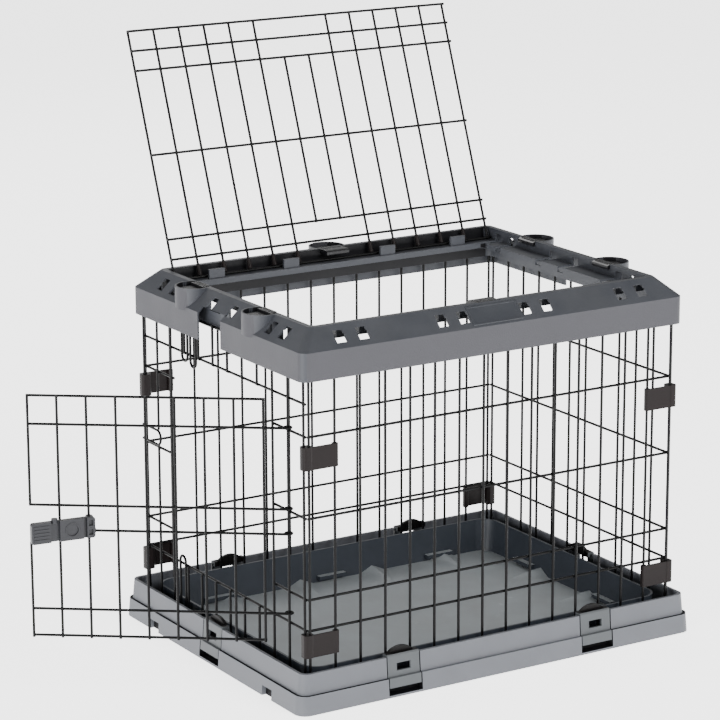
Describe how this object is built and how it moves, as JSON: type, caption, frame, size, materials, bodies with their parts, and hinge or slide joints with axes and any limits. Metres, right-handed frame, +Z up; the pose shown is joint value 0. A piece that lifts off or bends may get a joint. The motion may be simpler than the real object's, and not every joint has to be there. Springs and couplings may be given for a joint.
{
  "type": "wire dog crate",
  "caption": "A folding wire dog crate with a light grey moulded tray, black welded wire walls, a dark moulded top frame, a hinged wire lid standing open and a side door ajar",
  "frame": {"origin": "centre of the tray's underside, on the floor", "axes": "+X along the long side, away from the door; +Y towards the lid's hinge; +Z up"},
  "size_m": [0.8857, 0.5439, 0.8024],
  "materials": {
    "light_plastic": "matte",
    "dark_plastic": "matte",
    "badge_plastic": "satin",
    "latch_plastic": "matte",
    "black_wire": "gloss",
    "clip_plastic": "satin",
    "handle_plastic": "matte"
  },
  "bodies": {
    "base": {"base_tray": "light_plastic", "panel_front": "black_wire", "panel_back": "black_wire", "panel_right": "black_wire", "panel_door_side": "black_wire", "corner_clip_front_left_low": "clip_plastic", "corner_clip_front_left_high": "clip_plastic", "corner_clip_front_right_low": "clip_plastic", "corner_clip_front_right_high": "clip_plastic", "corner_clip_back_left_low": "clip_plastic", "corner_clip_back_left_high": "clip_plastic", "corner_clip_back_right_low": "clip_plastic", "corner_clip_back_right_high": "clip_plastic"},
    "top_frame": {"top_frame": "dark_plastic", "badge_plate": "badge_plastic"},
    "lid": {"lid_grille": "black_wire", "lid_hinge_sleeves": "clip_plastic"},
    "door": {"door_grille": "black_wire", "door_latch_clip": "clip_plastic"},
    "door_latch": {"door_latch_handle": "handle_plastic"},
    "base_latch_front_left_body": {"base_latch_front_left": "light_plastic"},
    "base_latch_front_right_body": {"base_latch_front_right": "light_plastic"},
    "base_latch_back_left_body": {"base_latch_back_left": "light_plastic"},
    "base_latch_back_right_body": {"base_latch_back_right": "light_plastic"},
    "base_latch_left_body": {"base_latch_left": "light_plastic"},
    "base_latch_right_body": {"base_latch_right": "light_plastic"},
    "lid_latch_left_front_body": {"lid_latch_left_front": "latch_plastic"},
    "lid_latch_left_back_body": {"lid_latch_left_back": "latch_plastic"},
    "lid_latch_right_front_body": {"lid_latch_right_front": "latch_plastic"},
    "lid_latch_right_back_body": {"lid_latch_right_back": "latch_plastic"},
    "lid_latch_front_body": {"lid_latch_front": "latch_plastic"},
    "lid_latch_back_body": {"lid_latch_back": "latch_plastic"}
  },
  "joints": [
    {"name": "top_frame_lift", "type": "slide", "parent": "base", "child": "top_frame", "axis": [0, 0, 1], "range_m": [0, 0.06]},
    {"name": "lid_hinge", "type": "hinge", "parent": "top_frame", "child": "lid", "pos_m": [0, 0.176, 0.4798], "axis": [-1, 0, 0], "range_deg": [-110.9, 0]},
    {"name": "door_hinge", "type": "hinge", "parent": "base", "child": "door", "pos_m": [-0.286, -0.17288, 0.24], "axis": [0, 0, 1], "range_deg": [-53.8, 100]},
    {"name": "door_latch_pivot", "type": "hinge", "parent": "door", "child": "door_latch", "pos_m": [-0.49524, -0.02904, 0.231], "axis": [0, 0, 1], "range_deg": [-28, 16]},
    {"name": "base_latch_front_left_hinge", "type": "hinge", "parent": "base", "child": "base_latch_front_left_body", "pos_m": [-0.152, -0.2335, 0.017], "axis": [1, 0, 0], "range_deg": [0, 28]},
    {"name": "base_latch_front_right_hinge", "type": "hinge", "parent": "base", "child": "base_latch_front_right_body", "pos_m": [0.152, -0.2335, 0.017], "axis": [1, 0, 0], "range_deg": [0, 28]},
    {"name": "base_latch_back_left_hinge", "type": "hinge", "parent": "base", "child": "base_latch_back_left_body", "pos_m": [-0.152, 0.2335, 0.017], "axis": [-1, 0, 0], "range_deg": [0, 28]},
    {"name": "base_latch_back_right_hinge", "type": "hinge", "parent": "base", "child": "base_latch_back_right_body", "pos_m": [0.152, 0.2335, 0.017], "axis": [-1, 0, 0], "range_deg": [0, 28]},
    {"name": "base_latch_left_hinge", "type": "hinge", "parent": "base", "child": "base_latch_left_body", "pos_m": [-0.3035, 0, 0.017], "axis": [0, -1, 0], "range_deg": [0, 28]},
    {"name": "base_latch_right_hinge", "type": "hinge", "parent": "base", "child": "base_latch_right_body", "pos_m": [0.3035, 0, 0.017], "axis": [0, 1, 0], "range_deg": [0, 28]},
    {"name": "lid_latch_left_front_slide", "type": "slide", "parent": "top_frame", "child": "lid_latch_left_front_body", "axis": [1, 0, 0], "range_m": [0, 0.0065]},
    {"name": "lid_latch_left_back_slide", "type": "slide", "parent": "top_frame", "child": "lid_latch_left_back_body", "axis": [1, 0, 0], "range_m": [0, 0.0065]},
    {"name": "lid_latch_right_front_slide", "type": "slide", "parent": "top_frame", "child": "lid_latch_right_front_body", "axis": [-1, 0, 0], "range_m": [0, 0.0065]},
    {"name": "lid_latch_right_back_slide", "type": "slide", "parent": "top_frame", "child": "lid_latch_right_back_body", "axis": [-1, 0, 0], "range_m": [0, 0.0065]},
    {"name": "lid_latch_front_slide", "type": "slide", "parent": "top_frame", "child": "lid_latch_front_body", "axis": [0, 1, 0], "range_m": [0, 0.007]},
    {"name": "lid_latch_back_slide", "type": "slide", "parent": "top_frame", "child": "lid_latch_back_body", "axis": [0, -1, 0], "range_m": [-0.008, 0]}
  ]
}
